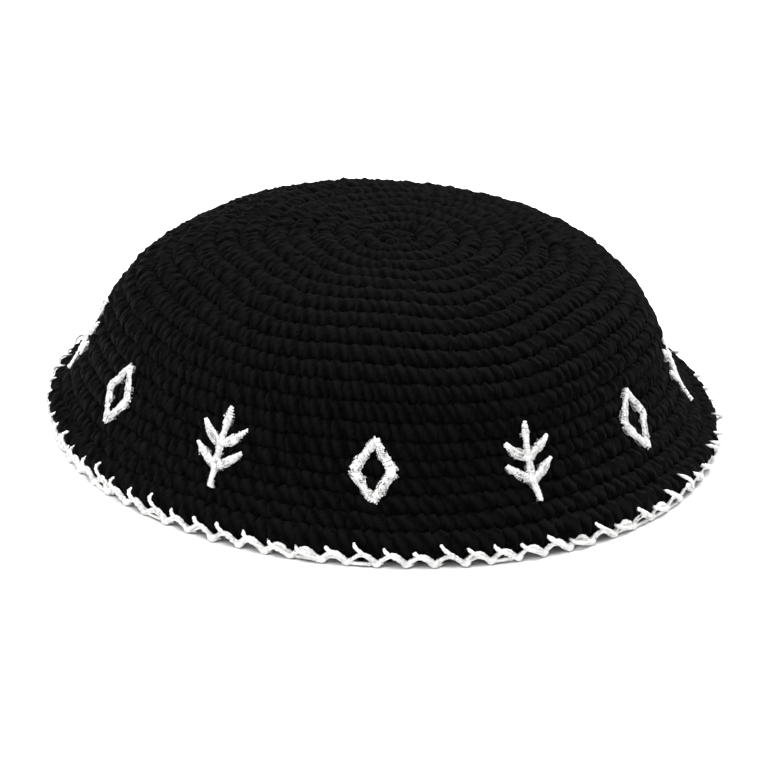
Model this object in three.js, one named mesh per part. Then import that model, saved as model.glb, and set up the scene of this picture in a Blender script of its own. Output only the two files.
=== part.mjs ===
// A crocheted kippah skullcap: a low round cap worked in rounds from a small ring at its
// top, with a looped edging under its rim and a band of raised stitched motifs round its
// wall. It keeps its own form and rests on the feet of its edging.
// Millimetres, +Z up. The origin is on the floor under the middle of the rim. The front
// faces -Y, and an azimuth is counted from the front towards +X.

import * as THREE from 'three';
import { mergeVertices } from 'three/addons/utils/BufferGeometryUtils.js';

// Driving dimensions of the crown
const roundCount = 21;
const wallThickness = 3;
const ridgeHeight = 0.7;
const crownSegments = 60;
const rimHeight = 3.6;
const lipHeight = 0.6;
const lipWidth = 3;
const hollowRounds = [19, 17, 15, 13, 11.5, 10, 8.5, 7, 5, 3];

// Rounds lie a little wider at six places, where the stitches are increased.
const cornerCount = 6;
const cornerAzimuth = 28 * Math.PI / 180;
const cornerSag = 35;

// The groove under each listed round: its radius, its height above the floor, how much
// wider it is at the six corners, as a share, and how far its middle leans to the side.
const sections = [
  { round: 0, radius: 0, height: 47.8, corner: 0, lean: 1.0 },
  { round: 2, radius: 10.0, height: 47.8, corner: 0.004, lean: 1.0 },
  { round: 4, radius: 20.3, height: 47.5, corner: 0.012, lean: 1.0 },
  { round: 6, radius: 31.1, height: 46.8, corner: 0.022, lean: 0.7 },
  { round: 8, radius: 41.9, height: 45.0, corner: 0.026, lean: 0.1 },
  { round: 10, radius: 51.5, height: 41.0, corner: 0.022, lean: -0.4 },
  { round: 12, radius: 59.9, height: 35.8, corner: 0.014, lean: -0.9 },
  { round: 14, radius: 65.0, height: 28.4, corner: 0.009, lean: -1.3 },
  { round: 16, radius: 68.5, height: 20.7, corner: 0.006, lean: -1.9 },
  { round: 18, radius: 72.3, height: 13.7, corner: 0.003, lean: -1.7 },
  { round: 20, radius: 77.7, height: 7.0, corner: 0, lean: -0.5 },
  { round: 21, radius: 81.2, height: rimHeight, corner: 0, lean: 0 },
];

// Driving dimensions of the edging: one low arch under each stitch of the last round
const gap = 0.3;
const archCount = 78;
const edgingRadius = 80.9;
const edgingWidth = 1.8;
const strandHeight = 1.5;
const footShare = 0.34;
const peakShare = 0.3;

// Driving dimensions of the motifs, which sit round the wall at even steps
const motifCount = 12;
const motifThickness = 0.9;
const motifRound = 16.7;
const motifHeight = 18;
const motifWidth = 11.6;
const lozengeStroke = 2.4;
const sprigStem = 1.8;
const sprigLeafWidth = 2.8;

// Heights over the sprig's foot where its pairs of leaves join the stem, and the points
// round a leaf, from under its joint to over it: a share of the sprig's half width across,
// and millimetres up from the joint
const leafJoints = [3.7, 8.9];
const leafPoints = [
  { across: 0.72, up: 1.8 },
  { across: 1.0, up: 4.7 },
  { across: 0.45, up: 4.1 },
];
const budHeight = 2.3;
const budWidth = 3.4;

const blackYarn = new THREE.MeshStandardMaterial({ color: 0x0b0b0e, roughness: 0.95, metalness: 0 });
const whiteYarn = new THREE.MeshStandardMaterial({ color: 0xeceae6, roughness: 0.9, metalness: 0 });

// A smooth curve through one column of the table
function column(name, round) {
  const last = sections.length - 2;
  let i = 0;
  while (i < last && round > sections[i + 1].round) i += 1;
  const slope = (k) => {
    const before = sections[Math.max(k - 1, 0)];
    const after = sections[Math.min(k + 1, sections.length - 1)];
    return (after[name] - before[name]) / (after.round - before.round);
  };
  const from = sections[i];
  const to = sections[i + 1];
  const span = to.round - from.round;
  const t = (round - from.round) / span;
  const h1 = 2 * t ** 3 - 3 * t ** 2 + 1;
  const h2 = t ** 3 - 2 * t ** 2 + t;
  const h3 = -2 * t ** 3 + 3 * t ** 2;
  const h4 = t ** 3 - t ** 2;
  return h1 * from[name] + h2 * span * slope(i) + h3 * to[name] + h4 * span * slope(i + 1);
}

// The cap's smooth surface, which runs through the grooves between the rounds
function smoothPoint(round, azimuth) {
  const wave = Math.cos(cornerCount * (azimuth - cornerAzimuth));
  const corner = column('corner', round);
  const radius = column('radius', round) * (1 + corner * wave);
  const height = column('height', round) - cornerSag * corner * (1 + wave) / 2;
  const x = column('lean', round) + radius * Math.sin(azimuth);
  return new THREE.Vector3(x, -radius * Math.cos(azimuth), height);
}

// A point lifted off that surface along the outward direction of its meridian
function liftedPoint(round, azimuth, lift) {
  const step = 0.2;
  const above = smoothPoint(Math.max(round - step, 0), azimuth);
  const below = smoothPoint(Math.min(round + step, roundCount), azimuth);
  const down = below.sub(above).normalize();
  const across = new THREE.Vector3(Math.cos(azimuth), Math.sin(azimuth), 0);
  const outward = across.cross(down).negate().normalize();
  return smoothPoint(round, azimuth).addScaledVector(outward, lift);
}

// A closed shell of rings that share their azimuths, with a point at each end
function ringShell(startPoint, rings, endPoint) {
  const positions = [startPoint, ...rings.flat(), endPoint].flatMap((p) => p.toArray());
  const index = [];
  const at = (ring, k) => 1 + ring * crownSegments + (k % crownSegments);
  const end = 1 + rings.length * crownSegments;
  for (let k = 0; k < crownSegments; k += 1) {
    index.push(0, at(0, k), at(0, k + 1));
    index.push(end, at(rings.length - 1, k + 1), at(rings.length - 1, k));
    for (let ring = 0; ring + 1 < rings.length; ring += 1) {
      index.push(at(ring, k), at(ring + 1, k), at(ring + 1, k + 1));
      index.push(at(ring, k), at(ring + 1, k + 1), at(ring, k + 1));
    }
  }
  const geometry = new THREE.BufferGeometry();
  geometry.setAttribute('position', new THREE.Float32BufferAttribute(positions, 3));
  geometry.setIndex(index);
  return geometry;
}

// The crown: a ridge for each round outside, a plain hollow inside, and a rim that steps
// down behind the edging to a narrow lip
function crownGeometry() {
  const azimuths = Array.from({ length: crownSegments }, (_, k) => 2 * Math.PI * k / crownSegments);
  const outerSteps = Array.from({ length: 2 * roundCount }, (_, i) => (i + 1) / 2);
  const outer = outerSteps.map((round) => {
    const lift = Number.isInteger(round) ? 0 : ridgeHeight;
    return azimuths.map((azimuth) => liftedPoint(round, azimuth, lift));
  });
  const lipRadius = edgingRadius - edgingWidth / 2 - gap;
  const lipCorners = [
    { radius: lipRadius, height: rimHeight },
    { radius: lipRadius, height: lipHeight },
    { radius: lipRadius - lipWidth, height: lipHeight },
  ];
  const lip = lipCorners.map(({ radius, height }) => azimuths.map((azimuth) => {
    return new THREE.Vector3(radius * Math.sin(azimuth), -radius * Math.cos(azimuth), height);
  }));
  const inner = hollowRounds.map((round) => {
    return azimuths.map((azimuth) => liftedPoint(round, azimuth, -wallThickness));
  });
  const top = smoothPoint(0, 0).setZ(sections[0].height + ridgeHeight / 2);
  const ceiling = smoothPoint(0, 0).setZ(sections[0].height - wallThickness);
  return ringShell(top, [...outer, ...lip, ...inner], ceiling);
}

// The edging: a flat strand that runs up over an arch and down to a foot, all the way round
function edgingGeometry() {
  const archRise = rimHeight - gap - strandHeight;
  const pitch = 2 * Math.PI / archCount;
  const footStart = -footShare / 2;
  const footEnd = footShare / 2;
  const peakStart = 0.5 - peakShare / 2;
  const peakEnd = 0.5 + peakShare / 2;
  const corners = [
    { share: footStart, rise: 0 },
    { share: footEnd, rise: 0 },
    { share: peakStart, rise: archRise },
    { share: peakEnd, rise: archRise },
  ];
  const inner = edgingRadius - edgingWidth / 2;
  const outer = edgingRadius + edgingWidth / 2;
  const positions = [];
  for (let arch = 0; arch < archCount; arch += 1) {
    for (const { share, rise } of corners) {
      const azimuth = (arch + share) * pitch;
      const low = [[inner, rise], [outer, rise]];
      const high = [[outer, rise + strandHeight], [inner, rise + strandHeight]];
      for (const [radius, height] of [...low, ...high]) {
        positions.push(radius * Math.sin(azimuth), -radius * Math.cos(azimuth), height);
      }
    }
  }
  const index = [];
  const sides = 4;
  const ringCount = archCount * corners.length;
  const at = (ring, side) => (ring % ringCount) * sides + (side % sides);
  for (let ring = 0; ring < ringCount; ring += 1) {
    for (let side = 0; side < sides; side += 1) {
      index.push(at(ring, side), at(ring + 1, side), at(ring + 1, side + 1));
      index.push(at(ring, side), at(ring + 1, side + 1), at(ring, side + 1));
    }
  }
  const geometry = new THREE.BufferGeometry();
  geometry.setAttribute('position', new THREE.Float32BufferAttribute(positions, 3));
  geometry.setIndex(index);
  return geometry;
}

// An open lozenge, across and up
function lozengeShape() {
  const halfWidth = motifWidth / 2;
  const halfHeight = motifHeight / 2;
  const corners = (inset) => {
    const scale = 1 - inset / halfWidth;
    const points = [];
    for (const [across, up] of [[0, -1], [1, 0], [0, 1], [-1, 0]]) {
      points.push(new THREE.Vector2(across * halfWidth * scale, up * halfHeight * scale));
    }
    return points;
  };
  const shape = new THREE.Shape(corners(0));
  const slope = Math.hypot(halfWidth, halfHeight) / halfHeight;
  shape.holes.push(new THREE.Path(corners(lozengeStroke * slope).reverse()));
  return shape;
}

// A sprig: a stem with a bud at its top and two pairs of leaves that slope up and out
function sprigShape() {
  const halfStem = sprigStem / 2;
  const foot = -motifHeight / 2;
  const halfWidth = motifWidth / 2;
  const right = [new THREE.Vector2(halfStem, foot)];
  for (const joint of leafJoints) {
    right.push(new THREE.Vector2(halfStem, foot + joint));
    for (const { across, up } of leafPoints) {
      right.push(new THREE.Vector2(across * halfWidth, foot + joint + up));
    }
    right.push(new THREE.Vector2(halfStem, foot + joint + sprigLeafWidth));
  }
  right.push(new THREE.Vector2(budWidth / 2, motifHeight / 2 - budHeight));
  const tip = new THREE.Vector2(0, motifHeight / 2);
  const left = right.map((p) => new THREE.Vector2(-p.x, p.y)).reverse();
  return new THREE.Shape([...right, tip, ...left]);
}

// A raised motif: its shape extruded, then laid on the wall at one azimuth
function motifGeometry(shape, azimuth) {
  const flat = new THREE.ExtrudeGeometry(shape, { depth: motifThickness, bevelEnabled: false });
  flat.deleteAttribute('normal');
  flat.deleteAttribute('uv');
  const geometry = mergeVertices(flat);
  const position = geometry.getAttribute('position');
  const wallRadius = column('radius', motifRound);
  const above = smoothPoint(motifRound - 0.5, azimuth);
  const roundStep = smoothPoint(motifRound + 0.5, azimuth).distanceTo(above);
  for (let i = 0; i < position.count; i += 1) {
    const turn = azimuth + position.getX(i) / wallRadius;
    const round = motifRound - position.getY(i) / roundStep;
    const lift = ridgeHeight + gap + position.getZ(i);
    position.setXYZ(i, ...liftedPoint(round, turn, lift).toArray());
  }
  return geometry;
}

function namedMesh(name, geometry, material) {
  const mesh = new THREE.Mesh(geometry, material);
  mesh.name = name;
  return mesh;
}

const kippah = new THREE.Group();
kippah.add(namedMesh('crown', crownGeometry(), blackYarn));
kippah.add(namedMesh('edging', edgingGeometry(), whiteYarn));
for (let i = 0; i < motifCount; i += 1) {
  const shape = i % 2 === 0 ? lozengeShape() : sprigShape();
  const name = `motif_${String(i + 1).padStart(2, '0')}`;
  const azimuth = 2 * Math.PI * i / motifCount;
  kippah.add(namedMesh(name, motifGeometry(shape, azimuth), whiteYarn));
}

export default kippah;
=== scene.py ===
# A crocheted kippah skullcap standing on its rim on a pale floor, made yarn by yarn
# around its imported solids. The cap and the camera are worked out in millimetres and
# scaled to metres where they are made. The floor and the lights are in metres. An
# azimuth is counted from the front, -Y, towards +X.

import math

import bpy
import numpy as np
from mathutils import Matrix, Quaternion, Vector


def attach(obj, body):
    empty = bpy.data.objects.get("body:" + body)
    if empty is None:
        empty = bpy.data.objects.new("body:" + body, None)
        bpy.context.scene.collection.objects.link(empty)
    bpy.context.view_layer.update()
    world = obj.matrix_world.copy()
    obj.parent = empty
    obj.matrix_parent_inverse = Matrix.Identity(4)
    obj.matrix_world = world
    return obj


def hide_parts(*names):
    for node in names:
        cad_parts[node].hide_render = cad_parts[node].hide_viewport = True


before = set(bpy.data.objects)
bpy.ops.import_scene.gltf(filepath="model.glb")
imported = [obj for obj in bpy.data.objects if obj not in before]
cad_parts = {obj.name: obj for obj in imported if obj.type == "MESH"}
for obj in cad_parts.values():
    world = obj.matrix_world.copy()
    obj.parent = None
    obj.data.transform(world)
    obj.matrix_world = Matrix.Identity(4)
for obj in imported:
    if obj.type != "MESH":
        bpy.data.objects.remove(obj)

MM = 0.001
TURN = 2 * math.pi
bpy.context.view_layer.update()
random = np.random.default_rng(7)

# The camera, as it stands to the cap in the photograph
CAMERA_ELEVATION = math.radians(24.6)
CAMERA_ROLL = math.radians(2.7)
CAMERA_DISTANCE = 900
CAMERA_TARGET = (-0.4, 0, 8.3)
CAMERA_LENS = 171.7

# The groove under each listed round: its radius, its height above the floor, how much
# wider it is at the six corners, as a share, and how far its middle leans to the side
SECTIONS = np.array([
    (0, 0.0, 47.8, 0.000, 1.0),
    (2, 10.0, 47.8, 0.004, 1.0),
    (4, 20.3, 47.5, 0.012, 1.0),
    (6, 31.1, 46.8, 0.022, 0.7),
    (8, 41.9, 45.0, 0.026, 0.1),
    (10, 51.5, 41.0, 0.022, -0.4),
    (12, 59.9, 35.8, 0.014, -0.9),
    (14, 65.0, 28.4, 0.009, -1.3),
    (16, 68.5, 20.7, 0.006, -1.9),
    (18, 72.3, 13.7, 0.003, -1.7),
    (20, 77.7, 7.0, 0.000, -0.5),
    (21, 81.2, 3.6, 0.000, 0.0),
], dtype=[(name, float) for name in ("round", "radius", "height", "corner", "lean")])
ROUNDS = 21
CORNERS = 6
CORNER_AZIMUTH = math.radians(28)
CORNER_SAG = 35
CREASE_AZIMUTH = math.radians(32)
CREASE_START = 10
CREASE_FADE = 3
CREASE_DEPTH = 0.55
CREASE_WIDTH = 1.6

# The slight unevenness of the cloth. Each wave has its count round the cap, the radians
# that it turns from one round to the next, its start in radians and its height.
WAVES = ((3, 0.35, 0, 0.14), (5, -0.5, 1.3, 0.14), (11, 0.9, 0, 0.08))

# Where the brim hangs lower at the sides: the azimuth and reach of each sag, in degrees,
# and its depth. A sag starts below the first height and is whole between the next two.
# Spread is how far the brim moves out there, and tuck how much less the edging stands out
# from under it, as a share, both for each millimetre of depth.
SAGS = np.array([
    (95, 30, 2.9),
    (-100, 30, 2.1),
], dtype=[(name, float) for name in ("azimuth", "reach", "depth")])
SAG_HEIGHTS = (22, 10, 6.5)
SAG_SPREAD = 0.27
SAG_TUCK = 0.2

# The stitches of a round: how many, where the first one starts and how far that drifts
# from one round to the next, as shares of a stitch
STITCHES_ADDED = 6
MOST_STITCHES = 78
FIRST_PHASE = 0.5
PHASE_STEP = 0.17

# The black yarn: half its width, and how one leg of a stitch runs from the round above
# (0) to the round below (1). Spread is its distance from the stitch's middle as a share
# of the stitch, lift its height over the grooves, and girth a share of the radius. One
# leg lies over the other by the offset, up and down. In a stitch that is narrower or
# wider than a full one the girth follows the width, within its limits.
YARN_RADIUS = 1.58
LEG = np.array([
    (-0.08, 0.17, -2.9, 0.7),
    (0.03, 0.20, -2.0, 0.94),
    (0.14, 0.22, -1.05, 1.14),
    (0.32, 0.235, -0.5, 1.28),
    (0.55, 0.24, -0.35, 1.32),
    (0.77, 0.245, -0.55, 1.28),
    (0.91, 0.25, -1.2, 1.12),
    (1.00, 0.25, -2.05, 0.94),
    (1.08, 0.25, -2.9, 0.7),
], dtype=[(name, float) for name in ("run", "spread", "lift", "girth")])
LEG_POINTS = 10
LEG_SLANT = 0.2
LEG_OFFSET = 0.08
FULL_STITCH = 5.4
GIRTH_LIMITS = (0.45, 1.1)

# How much the stitches differ from each other: their legs' spread and girth as shares,
# their place as a share of a stitch, their height in rounds, and their lift and radius
SPREAD_WANDER = 0.06
GIRTH_WANDER = 0.05
PLACE_WANDER = 0.012
ROUND_WANDER = 0.022
LIFT_WANDER = 0.1
RADIUS_WANDER = 0.1

# The rim: how the loops of the last round turn in under it
RIM_LEG = np.array([
    (0.26, 79.0, 5.6, 0.8),
    (0.26, 79.6, 4.5, 1.0),
    (0.25, 79.9, 3.3, 1.05),
    (0.24, 79.9, 2.2, 1.0),
    (0.23, 79.4, 1.45, 0.92),
    (0.22, 78.4, 1.4, 0.85),
    (0.21, 77.5, 2.3, 0.8),
], dtype=[(name, float) for name in ("spread", "radius", "height", "girth")])
RIM_LEG_POINTS = 8
RIM_YARN_RADIUS = 1.4
RIM_LIFT = 0.4

# The black strands that run round the whole cap, in the grooves, inside and under the rim.
# Points is how many places a strand has at each stitch. Swing is how far it sways there:
# along the rounds and over them, or for the rim's strand outwards and in height. Swell is
# how much its radius changes, inside in millimetres and under the rim as a share.
STRAND_POINTS = 6
STRAND_TWIST = 5.0
GROOVE_LIFT = -2.2
GROOVE_SWING = (0.07, 0.15)
GROOVE_RADIUS = 1.05
INNER_POINTS = 4
INNER_PLACES = (0.25, 0.75)
INNER_END = 0.6
INNER_LIFT = -3.05
INNER_SWING = (0.09, 0.35)
INNER_RADIUS = 1.12
INNER_SWELL = 0.16
RIM_STRAND_PLACE = (78.2, 2.9)
RIM_STRAND_SWING = (0.2, 0.25)
RIM_STRAND_RADIUS = 1.35
RIM_STRAND_SWELL = 0.12

# The shell between the two faces of the crochet: its lifts, the rounds where it starts
# and ends, and how finely it is divided
BACKING_LIFTS = (-1.9, -2.6)
BACKING_ENDS = (0.05, ROUNDS - 0.3)
BACKING_LEVELS = 44
BACKING_SEGMENTS = 120

# The white edging: the places of each strand along an arch, as a share of it, in height,
# and out from the edging's middle. Some arches, a share of them, have the lower strand.
ARCHES = MOST_STITCHES
EDGING_RADIUS = 80.7
EDGING_POINTS = 11
MAIN_STRAND = np.array([
    (-0.04, 0.8, 0.35), (0.08, 1.0, 0.6), (0.2, 1.75, 0.8), (0.33, 2.5, 0.9), (0.47, 2.8, 0.95),
    (0.62, 2.65, 0.95), (0.77, 2.0, 0.9), (0.91, 1.15, 0.7), (1.04, 0.8, 0.35),
])
SLANTED_STRAND = np.array([
    (0.14, 4.5, -0.9), (0.17, 4.4, 0.7), (0.24, 4.1, 1.7), (0.36, 3.6, 2.0), (0.53, 2.95, 1.95),
    (0.71, 2.2, 1.7), (0.89, 1.4, 1.4), (1.06, 0.85, 1.0), (1.22, 0.8, 0.3),
])
KNOT_STRAND = np.array([
    (0.82, 1.55, 0.5), (0.88, 1.25, 1.1), (0.95, 0.9, 1.3), (1.03, 0.85, 1.3),
    (1.11, 1.15, 1.05), (1.17, 1.6, 0.4),
])
LOWER_STRAND = np.array([
    (-0.06, 0.8, 0.4), (0.1, 0.75, 0.9), (0.3, 0.8, 1.1), (0.5, 0.85, 1.15),
    (0.7, 0.8, 1.1), (0.9, 0.75, 0.8), (1.06, 0.7, 0.4),
])
LOWER_SHARE = 0.22

# How thick a strand of the edging is along its way, as a share, and how much the strands
# differ: their girth and their place along the arch as shares, and their distance out
EDGING_GIRTH = np.array([(0, 0.5), (0.12, 0.95), (0.8, 1.08), (1, 0.85)])
EDGING_GIRTH_WANDER = 0.08
EDGING_PLACE_WANDER = 0.04
EDGING_OUT_WANDER = 0.12

# The motifs on the wall: the strokes' widths from start to end, and the sprig's measures
MOTIFS = 12
MOTIF_ROUND = 16.7
MOTIF_HEIGHT = 18
MOTIF_WIDTH = 11.6
LOZENGE_INSET = 0.77
LOZENGE_WIDTHS = ((2.0, 2.9), (2.9, 1.7), (1.8, 2.9), (2.9, 2.0))
STEM_BEND = 6
STEM_GAP = 3
STEM_WIDTHS = (1.3, 2.1, 1.6)
BUD_LENGTH = 4.2
BUD_MIDDLE = 2
BUD_WIDTHS = (1.6, 2.9, 0.8)
LEAF_JOINTS = (4.7, 9.9)
LEAF_PATH = ((0.4, 0), (3.1, 1.8), (5.6, 4.2))
LEAF_WIDTHS = (1.7, 2.8, 0.8)

# Satin stitch: how each thread arches over a stroke, as places across it in shares of half
# its width and lifts, how unlike the threads are, and the padding strand under them
THREAD_RADIUS = 0.3
THREAD_STEP = 0.44
THREAD_SLANT = 0.22
THREAD_ARCH = np.array([
    (-1.0, 0.35), (-0.78, 1.05), (-0.3, 1.4), (0.3, 1.4), (0.78, 1.05), (1.0, 0.35),
])
THREAD_WANDER = 0.05
THREAD_GIRTH_WANDER = 0.08
STROKE_SWELL = 0.12
STROKE_SWELL_RATE = 1.3
PAD_LIFT = 0.85
PAD_MARGIN = 0.3
PAD_LEAST = 0.25


def smooth(knots, values, at):
    """A smooth curve through the values at the knots, read at any places."""
    slopes = np.empty(len(values))
    slopes[1:-1] = (values[2:] - values[:-2]) / (knots[2:] - knots[:-2])
    slopes[0] = (values[1] - values[0]) / (knots[1] - knots[0])
    slopes[-1] = (values[-1] - values[-2]) / (knots[-1] - knots[-2])
    i = np.clip(np.searchsorted(knots, at, side="right") - 1, 0, len(knots) - 2)
    span = knots[i + 1] - knots[i]
    t = (at - knots[i]) / span
    ahead = 3 * t**2 - 2 * t**3
    rise = (t**3 - 2 * t**2 + t) * slopes[i] + (t**3 - t**2) * slopes[i + 1]
    return (1 - ahead) * values[i] + ahead * values[i + 1] + span * rise


def column(name, rounds):
    return smooth(SECTIONS["round"], SECTIONS[name], rounds)


def smooth_point(rounds, azimuths):
    """The cap's smooth surface, which runs through the grooves between the rounds."""
    wave = np.cos(CORNERS * (azimuths - CORNER_AZIMUTH))
    corner = column("corner", rounds)
    radius = column("radius", rounds) * (1 + corner * wave)
    x = column("lean", rounds) + radius * np.sin(azimuths)
    y = -radius * np.cos(azimuths)
    z = column("height", rounds) - CORNER_SAG * corner * (1 + wave) / 2
    return np.stack([x, y, z], -1)


def ring_points(azimuths, radius, height):
    """Points round the upright axis."""
    x = radius * np.sin(azimuths)
    y = -radius * np.cos(azimuths)
    return np.stack([x, y, height + 0 * azimuths], -1)


def level_outs(azimuths):
    """The level directions away from the axis."""
    return ring_points(azimuths, 1, 0)


def even_azimuths(count):
    return TURN * np.arange(count) / count


def unit(vectors):
    least = 1e-9
    return vectors / np.maximum(np.linalg.norm(vectors, axis=-1, keepdims=True), least)


def outward(rounds, azimuths):
    """The direction out of the smooth surface, from its slope over a step up and down."""
    step = 0.2
    above = smooth_point(np.maximum(rounds - step, 0), azimuths)
    below = smooth_point(np.minimum(rounds + step, ROUNDS), azimuths)
    across = np.stack([np.cos(azimuths), np.sin(azimuths), 0 * azimuths], -1)
    return -unit(np.cross(across, unit(below - above)))


def undulation(rounds, azimuths):
    """The slight unevenness of the cloth, and its crease."""
    uneven = sum(height * np.sin(count * azimuths + turn * rounds + start)
                 for count, turn, start, height in WAVES)
    aside = np.sin(azimuths - CREASE_AZIMUTH) * column("radius", rounds)
    ahead = np.cos(azimuths - CREASE_AZIMUTH) > 0
    along = np.clip((rounds - CREASE_START) / CREASE_FADE, 0, 1)
    crease = CREASE_DEPTH * along * ahead * np.exp(-(aside / CREASE_WIDTH) ** 2)
    return uneven - crease


def sag_depth(azimuths):
    """How much lower the brim hangs at each azimuth."""
    depth = 0
    for sag in SAGS:
        away = (np.degrees(azimuths) - sag["azimuth"] + 180) % 360 - 180
        depth = depth + sag["depth"] * np.exp(-(away / sag["reach"]) ** 2)
    return depth


def sagged(points):
    """The points with the brim hanging lower at the sides and spreading a little there."""
    depth = sag_depth(np.arctan2(points[..., 0], -points[..., 1]))
    start, whole, end = SAG_HEIGHTS
    height = points[..., 2]
    share = np.clip((start - height) / (start - whole), 0, 1)
    drop = depth * (3 * share**2 - 2 * share**3) * np.clip(height / end, 0, 1)
    aside = unit(points[..., :2]) * SAG_SPREAD
    down = -np.ones_like(height)[..., None]
    return points + np.concatenate([aside, down], -1) * drop[..., None]


def lifted(rounds, azimuths, lift):
    """Points over the surface, and the outward direction there."""
    rounds, azimuths, lift = np.broadcast_arrays(rounds, azimuths, lift)
    innermost = 0.02
    rounds = np.clip(rounds, innermost, ROUNDS)
    out = outward(rounds, azimuths)
    height = lift + undulation(rounds, azimuths)
    return sagged(smooth_point(rounds, azimuths) + out * height[..., None]), out


def above_floor(paths, radii):
    """The paths, raised where yarn of these radii would reach through the floor. The plies
    stand out past the radius by a share of it."""
    ply_reach = 1.08
    heights = np.maximum(paths[..., 2], ply_reach * radii)
    return np.concatenate([paths[..., :2], heights[..., None]], -1)


def tubes(paths, outs, radii, sides=12, plies=3, depth=0.18, twist=5.6, flat=0.86, closed=False):
    """Twisted yarn along many paths: vertices, quads, end caps and the uv of each.

    paths and outs are (tubes, points, 3) and radii (tubes, points). twist is the length of
    one turn of the plies, depth how deep the lines between them are, as a share of the
    radius, and flat the yarn's thickness as a share of its width. A closed tube joins its
    last point to its first. The uv of each tube starts at another place along the yarn."""
    count, points = paths.shape[:2]
    if closed:
        along = np.roll(paths, -1, 1) - np.roll(paths, 1, 1)
    else:
        along = np.gradient(paths, axis=1)
    along = unit(along)
    across = unit(np.cross(outs, along))
    up = np.cross(along, across)
    steps = np.linalg.norm(np.diff(paths, axis=1, append=paths[:, :1]), axis=-1)
    length = np.concatenate([np.zeros((count, 1)), np.cumsum(steps, 1)], 1)
    start = random.uniform(0, TURN, count)[:, None]
    if closed:
        turns = np.maximum(np.round(length[:, -1:] / twist), 1)
        turning = TURN * turns * length[:, :-1] / length[:, -1:] + start
    else:
        turning = TURN * length[:, :-1] / twist + start
    around = even_azimuths(sides)
    middle_lobe = 0.7
    lobes = np.abs(np.cos(plies * around / 2)) - middle_lobe
    reach = radii[..., None] * (1 + depth * lobes)
    angle = around + turning[..., None]
    vertices = paths[:, :, None] + (reach * np.cos(angle))[..., None] * across[:, :, None]
    vertices = vertices + (flat * reach * np.sin(angle))[..., None] * up[:, :, None]
    spans = points if closed else points - 1
    first_point = np.arange(count)[:, None] * points
    span = np.arange(spans)
    ring = (first_point + span)[..., None] * sides
    ahead = (first_point + (span + 1) % points)[..., None] * sides
    side = np.arange(sides)
    turned = (side + 1) % sides
    quads = np.stack([ring + side, ring + turned, ahead + turned, ahead + side], -1).reshape(-1, 4)
    most_shift = 40
    shift = random.uniform(0, most_shift, count)[:, None, None]
    u = (length[:, :spans, None] + shift) * np.ones(sides)
    u_ahead = (length[:, 1:spans + 1, None] + shift) * np.ones(sides)
    v = side / sides * np.ones_like(u)
    v_turned = (side + 1) / sides * np.ones_like(u)
    corners = ((u, v), (u, v_turned), (u_ahead, v_turned), (u_ahead, v))
    uv = np.stack([np.stack(corner, -1) for corner in corners], -2)
    caps = np.zeros((0, sides), int)
    if not closed:
        first = first_point * sides + side[::-1]
        last = (first_point + points - 1) * sides + side
        caps = np.concatenate([first, last])
    return vertices.reshape(-1, 3), quads, caps, uv.reshape(-1, 2)


def make_piece(name, parts, material, nodes):
    """One joined mesh of several lots of tubes, in the place of nodes of the solids."""
    vertices, loops, starts, uvs = [], [], [], []
    vertex_count = loop_count = 0
    for points, quads, caps, uv in parts:
        for faces in (quads, caps):
            loops.append((faces + vertex_count).ravel())
            starts.append(loop_count + np.arange(len(faces)) * faces.shape[1])
            loop_count += faces.size
        uvs.append(uv)
        uvs.append(np.zeros((caps.size, 2)))
        vertices.append(points)
        vertex_count += len(points)
    vertices = np.concatenate(vertices) * MM
    loops = np.concatenate(loops)
    starts = np.concatenate(starts)
    mesh = bpy.data.meshes.new(name)
    mesh.vertices.add(len(vertices))
    mesh.vertices.foreach_set("co", vertices.astype(np.float32).ravel())
    mesh.loops.add(len(loops))
    mesh.loops.foreach_set("vertex_index", loops.astype(np.int32))
    mesh.polygons.add(len(starts))
    mesh.polygons.foreach_set("loop_start", starts.astype(np.int32))
    yarn = mesh.uv_layers.new(name="yarn")
    yarn.data.foreach_set("uv", np.concatenate(uvs).astype(np.float32).ravel())
    mesh.update(calc_edges=True)
    mesh.validate()
    mesh.shade_smooth()
    mesh.materials.append(material)
    piece = bpy.data.objects.new(name, mesh)
    bpy.context.scene.collection.objects.link(piece)
    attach(piece, "root")
    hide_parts(*nodes)


def stitch_count(round_number):
    return min(STITCHES_ADDED * round_number, MOST_STITCHES)


def stitch_phase(round_number):
    """Where a round's stitches start: they drift a little from each round to the next."""
    return FIRST_PHASE + PHASE_STEP * round_number


def stitch_legs(round_number):
    """The two legs of every stitch of one round."""
    count = stitch_count(round_number)
    width = TURN * column("radius", np.array(round_number - 0.5)) / count
    middles = (np.arange(count) + stitch_phase(round_number)) / count
    run = np.linspace(LEG["run"][0], LEG["run"][-1], LEG_POINTS)
    spread = smooth(LEG["run"], LEG["spread"], run)
    lift = smooth(LEG["run"], LEG["lift"], run) + (RIM_LIFT if round_number == ROUNDS else 0)
    full = float(np.clip(width / FULL_STITCH, *GIRTH_LIMITS))
    girth = smooth(LEG["run"], LEG["girth"], run) * full
    lots = []
    for side in (-1, 1):
        wander = random.normal(0, 1, (4, count, 1))
        place = side * spread * (1 + SPREAD_WANDER * wander[0])
        place = place + LEG_SLANT * (run - 0.5) + PLACE_WANDER * wander[1]
        azimuths = TURN * (middles[:, None] + place / count)
        rounds = round_number - 1 + run + ROUND_WANDER * wander[2]
        rise = lift + LIFT_WANDER * wander[3] + LEG_OFFSET * side
        paths, outs = lifted(rounds, azimuths, rise)
        radii = YARN_RADIUS * girth * (1 + GIRTH_WANDER * random.normal(0, 1, (count, 1)))
        paths = above_floor(paths, radii)
        lots.append(tubes(paths, outs, radii, plies=4, depth=0.32, twist=9, flat=0.7))
    return lots


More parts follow.
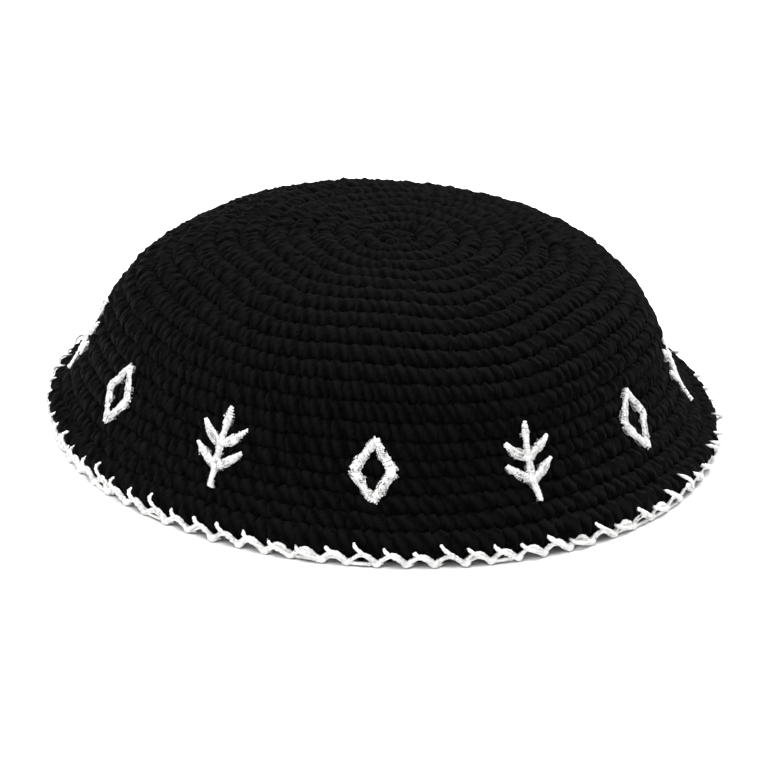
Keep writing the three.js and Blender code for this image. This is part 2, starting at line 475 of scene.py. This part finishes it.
def groove_strands():
    """The top loops of each round, which show between the stitches as a strand below them."""
    lots = []
    along, over = GROOVE_SWING
    for groove in range(1, ROUNDS):
        count = stitch_count(groove)
        azimuths = even_azimuths(STRAND_POINTS * count)
        swing = np.cos(count * azimuths)
        paths, outs = lifted(groove + along * swing, azimuths, GROOVE_LIFT + over * swing)
        radii = np.full((1, len(azimuths)), GROOVE_RADIUS)
        lot = tubes(paths[None], outs[None], radii, sides=6, twist=STRAND_TWIST, closed=True)
        lots.append(lot)
    return lots


def inner_strands():
    """The wrong side of the stitches: two wavy strands for each round."""
    lots = []
    along, over = INNER_SWING
    for round_number in range(1, ROUNDS + 1):
        count = stitch_count(round_number)
        azimuths = even_azimuths(INNER_POINTS * count)
        for half, share in enumerate(INNER_PLACES):
            swing = np.cos(count * azimuths + math.pi * half)
            middle = min(round_number - 1 + share, ROUNDS - INNER_END)
            paths, outs = lifted(middle + along * swing, azimuths, INNER_LIFT + over * swing)
            radii = INNER_RADIUS + INNER_SWELL * swing[None]
            lot = tubes(paths[None], outs[None], radii, sides=5, twist=STRAND_TWIST, closed=True)
            lots.append(lot)
    return lots


def rim_strands():
    """The last round's loops, which turn in under the rim behind the edging, and the strand
    that they hold."""
    lots = []
    run = np.linspace(0, 1, RIM_LEG_POINTS)
    knots = np.linspace(0, 1, len(RIM_LEG))
    names = RIM_LEG.dtype.names
    spread, radius, height, girth = (smooth(knots, RIM_LEG[name], run) for name in names)
    middles = (np.arange(MOST_STITCHES) + stitch_phase(ROUNDS) + LEG_SLANT / 2) / MOST_STITCHES
    for side in (-1, 1):
        wander = random.normal(0, 1, (3, MOST_STITCHES, 1))
        place = side * spread * (1 + SPREAD_WANDER * wander[0]) / MOST_STITCHES
        azimuths = TURN * (middles[:, None] + place)
        paths = sagged(ring_points(azimuths, radius + RADIUS_WANDER * wander[1], height))
        radii = RIM_YARN_RADIUS * girth * (1 + GIRTH_WANDER * wander[2])
        lots.append(tubes(above_floor(paths, radii), level_outs(azimuths), radii))
    azimuths = even_azimuths(STRAND_POINTS * MOST_STITCHES)
    swing = np.cos(MOST_STITCHES * azimuths + stitch_phase(ROUNDS) * TURN)
    (radius, height), (out, over) = RIM_STRAND_PLACE, RIM_STRAND_SWING
    paths = sagged(ring_points(azimuths, radius + out * swing, height + over * swing))
    swell = np.cos(2 * MOST_STITCHES * azimuths)
    radii = RIM_STRAND_RADIUS * (1 + RIM_STRAND_SWELL * swell)[None]
    paths = above_floor(paths[None], radii)
    lots.append(tubes(paths, level_outs(azimuths)[None], radii, sides=8, closed=True))
    return lots


def backing():
    """A thin closed shell between the two faces of the crochet."""
    azimuths = even_azimuths(BACKING_SEGMENTS)
    rounds = np.linspace(*BACKING_ENDS, BACKING_LEVELS)
    layers = []
    for levels, lift in zip((rounds, rounds[::-1]), BACKING_LIFTS):
        points, _ = lifted(levels[:, None], azimuths[None], lift)
        layers.append(points)
    rings = np.concatenate(layers)
    last = (len(rings) - 1) * BACKING_SEGMENTS
    ring = np.arange(len(rings) - 1)[:, None] * BACKING_SEGMENTS
    ahead = ring + BACKING_SEGMENTS
    side = np.arange(BACKING_SEGMENTS)
    turned = (side + 1) % BACKING_SEGMENTS
    quads = np.stack([ring + side, ahead + side, ahead + turned, ring + turned], -1).reshape(-1, 4)
    ends = np.stack([side, last + side[::-1]])
    return rings.reshape(-1, 3), quads, ends, np.zeros((quads.size, 2))


def edging_lot(table, start, radius, jitter, rise=0.0, tucked=True):
    """One strand of the edging at every arch in start, from a table of its places. jitter
    is how much its height differs, as a share. Where the brim sags, a strand that isn't
    tucked under it keeps its height."""
    run = np.linspace(0, 1, EDGING_POINTS)
    knots = np.linspace(0, 1, len(table))
    share, height, out = (smooth(knots, table[:, k], run) for k in range(3))
    wander = random.normal(0, 1, (4, len(start), 1))
    girth = np.interp(run, *EDGING_GIRTH.T)
    radii = radius * girth * (1 + EDGING_GIRTH_WANDER * wander[3])
    azimuths = TURN * (start[:, None] + share + EDGING_PLACE_WANDER * wander[1]) / ARCHES
    if tucked:
        out = out * (1 - SAG_TUCK * sag_depth(azimuths))
    distance = EDGING_RADIUS + out + EDGING_OUT_WANDER * wander[2]
    height = height * (1 + jitter * wander[0]) + rise
    paths = sagged(ring_points(azimuths, distance, height))
    if not tucked:
        paths[..., 2] = height
    paths = above_floor(paths, radii)
    return tubes(paths, level_outs(azimuths), radii, sides=8, plies=2, twist=3.4)


def edging_strands():
    """White yarn: two strands that run over an arch from each foot to the next, a slanted
    one that comes out of the black above them, a knot on each foot and some low strands."""
    arches = np.arange(ARCHES)
    low = arches[random.random(ARCHES) < LOWER_SHARE]
    return [
        edging_lot(MAIN_STRAND, arches, radius=0.52, jitter=0.05, rise=0.3),
        edging_lot(MAIN_STRAND, arches, radius=0.5, jitter=0.07, rise=-0.3),
        edging_lot(SLANTED_STRAND, arches, radius=0.55, jitter=0.18, tucked=False),
        edging_lot(KNOT_STRAND, arches, radius=0.66, jitter=0.08),
        edging_lot(LOWER_STRAND, low, radius=0.42, jitter=0.1),
    ]


def lozenge_strokes():
    """The four sides of an open lozenge, thick and thin by turns: points and widths."""
    side = MOTIF_WIDTH / 2 * LOZENGE_INSET
    top = MOTIF_HEIGHT / 2 * LOZENGE_INSET
    corners = [(0, -top), (side, 0), (0, top), (-side, 0)]
    ends = zip(corners, corners[1:] + corners[:1])
    return [(np.array(points), widths) for points, widths in zip(ends, LOZENGE_WIDTHS)]


def sprig_strokes():
    """A stem, a bud and two pairs of leaves."""
    foot = -MOTIF_HEIGHT / 2
    tip = MOTIF_HEIGHT / 2
    stem = [(0, foot), (0, foot + STEM_BEND), (0, tip - STEM_GAP)]
    bud = [(0, tip - BUD_LENGTH), (0, tip - BUD_MIDDLE), (0, tip)]
    strokes = [(np.array(stem), STEM_WIDTHS), (np.array(bud), BUD_WIDTHS)]
    for joint in LEAF_JOINTS:
        for side in (-1, 1):
            leaf = [(side * across, foot + joint + up) for across, up in LEAF_PATH]
            strokes.append((np.array(leaf), LEAF_WIDTHS))
    return strokes


def on_wall(across, up, azimuth, lift):
    """Points of a motif laid on the cap's wall at one azimuth."""
    middle = np.array(MOTIF_ROUND)
    ends = smooth_point(middle + np.array([-0.5, 0.5]), np.array([azimuth, azimuth]))
    round_height = np.linalg.norm(ends[1] - ends[0])
    turn = azimuth + across / column("radius", middle)
    return lifted(MOTIF_ROUND - up / round_height, turn, lift)


def stroke_threads(points, widths, azimuth):
    """Satin stitches side by side over one stroke, on a flat padding strand."""
    steps = np.linalg.norm(np.diff(points, axis=0), axis=1)
    knots = np.concatenate([[0], np.cumsum(steps)])
    count = max(int(knots[-1] / THREAD_STEP), 2)
    at = np.linspace(0, knots[-1], count)
    middle = np.stack([np.interp(at, knots, points[:, k]) for k in (0, 1)], -1)
    swell = np.sin(STROKE_SWELL_RATE * at + random.uniform(0, TURN))
    width = np.interp(at, knots, widths) * (1 + STROKE_SWELL * swell)
    heading = unit(np.gradient(middle, axis=0))
    aside = np.stack([-heading[:, 1], heading[:, 0]], -1) + THREAD_SLANT * heading
    share, crest = THREAD_ARCH.T
    ragged = 1 + THREAD_WANDER * random.normal(0, 1, (count, len(share)))
    offset = share * ragged * width[:, None] / 2
    flat = middle[:, None] + offset[..., None] * aside[:, None]
    flat = flat + THREAD_WANDER * random.normal(0, 1, (count, 1, 2))
    crest = crest + THREAD_WANDER * random.normal(0, 1, (count, 1))
    paths, outs = on_wall(flat[..., 0], flat[..., 1], azimuth, crest)
    girth = 1 + THREAD_GIRTH_WANDER * random.normal(0, 1, (count, 1))
    radii = THREAD_RADIUS * girth * np.ones(len(share))
    threads = tubes(paths, outs, radii, sides=6, plies=2, depth=0.1, twist=1.4, flat=0.8)
    pad, pad_outs = on_wall(middle[None, :, 0], middle[None, :, 1], azimuth, PAD_LIFT)
    pad_radii = np.maximum(width / 2 - PAD_MARGIN, PAD_LEAST)[None]
    padding = tubes(pad, pad_outs, pad_radii, sides=8, plies=1, depth=0, flat=0.6)
    return [threads, padding]


def motif_lots(index):
    """The threads of one motif: a lozenge and a sprig by turns round the cap."""
    azimuth = TURN * index / MOTIFS
    strokes = lozenge_strokes() if index % 2 == 0 else sprig_strokes()
    return [lot for points, widths in strokes for lot in stroke_threads(points, widths, azimuth)]


def new_material(name, roughness, specular, sheen, sheen_tint):
    """A material with its constant values set; its nodes are added by the caller."""
    material = bpy.data.materials.new(name)
    material.use_nodes = True
    shader = material.node_tree.nodes["Principled BSDF"]
    shader.inputs["Roughness"].default_value = roughness
    shader.inputs["Specular IOR Level"].default_value = specular
    shader.inputs["Sheen Weight"].default_value = sheen
    shader.inputs["Sheen Roughness"].default_value = 0.45
    shader.inputs["Sheen Tint"].default_value = (*sheen_tint, 1)
    return material, shader


def math_node(nodes, links, operation, *values):
    """The output of a math node fed by numbers or by other nodes' outputs."""
    node = nodes.new("ShaderNodeMath")
    node.operation = operation
    for socket, value in zip(node.inputs, values):
        if isinstance(value, bpy.types.NodeSocket):
            links.new(value, socket)
        else:
            socket.default_value = value
    return node.outputs[0]


def yarn_material(name, dark, light, roughness, specular, sheen, plies, pitch, relief_depth):
    """Spun yarn: plies that wind round each strand, with painted shade in the lines between
    them, fine fibres along it, and slow random changes of tone over the cloth. pitch is the
    length of strand from one ply to the next, and relief_depth the depth of the lines in the
    bump. The lines waver with the fibres. The base colour is the sum of the fibres, the plies'
    painted shade and the patches, by shares."""
    waver = 2.4
    ply_share = 0.3
    patch_share = 0.5
    cool = (0.8, 0.87, 1.0)
    material, shader = new_material(name, roughness, specular, sheen, sheen_tint=cool)
    nodes, links = material.node_tree.nodes, material.node_tree.links
    strand = nodes.new("ShaderNodeUVMap")
    strand.uv_map = "yarn"
    stretch = nodes.new("ShaderNodeMapping")
    stretch.inputs["Scale"].default_value = (1.3, 16, 1)
    fibres = nodes.new("ShaderNodeTexNoise")
    fibres.inputs["Scale"].default_value = 1
    fibres.inputs["Detail"].default_value = 6
    fibres.inputs["Roughness"].default_value = 0.7
    links.new(strand.outputs["UV"], stretch.inputs["Vector"])
    links.new(stretch.outputs["Vector"], fibres.inputs["Vector"])
    winding = nodes.new("ShaderNodeVectorMath")
    winding.operation = "DOT_PRODUCT"
    winding.inputs[1].default_value = (TURN / pitch, TURN * plies, 0)
    links.new(strand.outputs["UV"], winding.inputs[0])
    fibre = fibres.outputs["Fac"]
    phase = math_node(nodes, links, "MULTIPLY_ADD", fibre, waver, winding.outputs["Value"])
    ply = math_node(nodes, links, "SINE", phase)
    # The ply pattern drives the bump and also darkens the base colour between the plies: painted
    # shade in their grooves
    relief_and_painted_shade = math_node(nodes, links, "MULTIPLY_ADD", ply, ply_share, fibre)
    place = nodes.new("ShaderNodeTexCoord")
    patches = nodes.new("ShaderNodeTexNoise")
    patches.inputs["Scale"].default_value = 140
    patches.inputs["Detail"].default_value = 3
    links.new(place.outputs["Object"], patches.inputs["Vector"])
    patch = patches.outputs["Fac"]
    # The base colour mixes the painted shade of the ply lines with random patches of tone
    shading = math_node(nodes, links, "MULTIPLY_ADD", patch, patch_share, relief_and_painted_shade)
    shade = nodes.new("ShaderNodeValToRGB")
    shade.color_ramp.elements[0].position = 0.42
    shade.color_ramp.elements[0].color = (*dark, 1)
    shade.color_ramp.elements[1].position = 1.0
    shade.color_ramp.elements[1].color = (*light, 1)
    links.new(shading, shade.inputs["Fac"])
    links.new(shade.outputs["Color"], shader.inputs["Base Color"])
    relief = nodes.new("ShaderNodeBump")
    relief.inputs["Strength"].default_value = 1
    relief.inputs["Distance"].default_value = relief_depth * MM
    links.new(relief_and_painted_shade, relief.inputs["Height"])
    links.new(relief.outputs["Normal"], shader.inputs["Normal"])
    return material


def plain_floor():
    """A pale studio floor."""
    material, shader = new_material(
        "floor", roughness=0.9, specular=0.1, sheen=0, sheen_tint=(1, 1, 1)
    )
    shader.inputs["Base Color"].default_value = (0.9, 0.9, 0.9, 1)
    half = 6.0
    corners = [(-half, -half, 0), (half, -half, 0), (half, half, 0), (-half, half, 0)]
    mesh = bpy.data.meshes.new("floor")
    mesh.from_pydata(corners, [], [(0, 1, 2, 3)])
    mesh.materials.append(material)
    floor = bpy.data.objects.new("floor", mesh)
    bpy.context.scene.collection.objects.link(floor)


def area_light(name, place, size, power):
    """A soft square light that faces the cap."""
    light = bpy.data.lights.new(name, "AREA")
    light.shape = "SQUARE"
    light.size = size
    light.energy = power
    lamp = bpy.data.objects.new(name, light)
    lamp.location = place
    lamp.rotation_mode = "QUATERNION"
    lamp.rotation_quaternion = (-Vector(place)).to_track_quat("-Z", "Y")
    bpy.context.scene.collection.objects.link(lamp)


def studio():
    """A bright even surround, a broad light from above, a key light from the upper left and
    a light behind."""
    downwards = Vector((0.15, -0.05, -1.3))
    world = bpy.data.worlds.new("surround")
    world.use_nodes = True
    surround = world.node_tree.nodes["Background"]
    surround.inputs["Color"].default_value = (1, 1, 1, 1)
    surround.inputs["Strength"].default_value = 0.45
    bpy.context.scene.world = world
    # The tones are shown as they are lit, so that the floor stays white like the photo's
    bpy.context.scene.view_settings.view_transform = "Standard"
    sky = bpy.data.lights.new("top", "SUN")
    sky.energy = 4.5
    sky.angle = math.radians(60)
    lamp = bpy.data.objects.new("top", sky)
    lamp.rotation_mode = "QUATERNION"
    lamp.rotation_quaternion = downwards.to_track_quat("-Z", "Y")
    bpy.context.scene.collection.objects.link(lamp)
    area_light("key", place=(-0.9, -0.6, 0.9), size=0.6, power=5)
    area_light("back", place=(0.7, 0.8, 0.8), size=0.7, power=12)


def photo_camera():
    """The camera at the photograph's angle and distance."""
    data = bpy.data.cameras.new("photo_camera")
    data.lens = CAMERA_LENS
    data.sensor_width = 36
    data.clip_start = 0.01
    camera = bpy.data.objects.new("photo_camera", data)
    back = Vector((0, -math.cos(CAMERA_ELEVATION), math.sin(CAMERA_ELEVATION)))
    camera.location = (Vector(CAMERA_TARGET) + CAMERA_DISTANCE * back) * MM
    camera.rotation_mode = "QUATERNION"
    level = (-back).to_track_quat("-Z", "Y")
    camera.rotation_quaternion = level @ Quaternion((0, 0, 1), CAMERA_ROLL)
    bpy.context.scene.collection.objects.link(camera)
    bpy.context.scene.camera = camera


photo_camera()
plain_floor()
studio()

black = yarn_material(
    "black_yarn", dark=(0.0005, 0.0005, 0.0005), light=(0.0032, 0.0032, 0.0033),
    roughness=0.8, specular=0.02, sheen=0.01, plies=4, pitch=1.7, relief_depth=0.3,
)
white = yarn_material(
    "white_yarn", dark=(0.8, 0.79, 0.775), light=(0.95, 0.945, 0.94),
    roughness=0.75, specular=0.2, sheen=0.05, plies=2, pitch=1.3, relief_depth=0.2,
)
thread = yarn_material(
    "white_thread", dark=(0.86, 0.855, 0.845), light=(0.96, 0.957, 0.95),
    roughness=0.55, specular=0.3, sheen=0.05, plies=1, pitch=0.9, relief_depth=0.05,
)

# The rounds whose stitches go into each piece
bands = {
    "crown_top": range(1, 12),
    "crown_wall": range(12, 17),
    "crown_rim": range(17, ROUNDS + 1),
}
for name, rounds in bands.items():
    legs = [lot for round_number in rounds for lot in stitch_legs(round_number)]
    make_piece(name, legs, black, ["crown"])
between = groove_strands() + rim_strands() + [backing()]
make_piece("crown_grooves", between, black, ["crown"])
make_piece("crown_inside", inner_strands(), black, ["crown"])
make_piece("edging_yarn", edging_strands(), white, ["edging"])
for i in range(MOTIFS):
    node = f"motif_{i + 1:02d}"
    make_piece(f"{node}_thread", motif_lots(i), thread, [node])
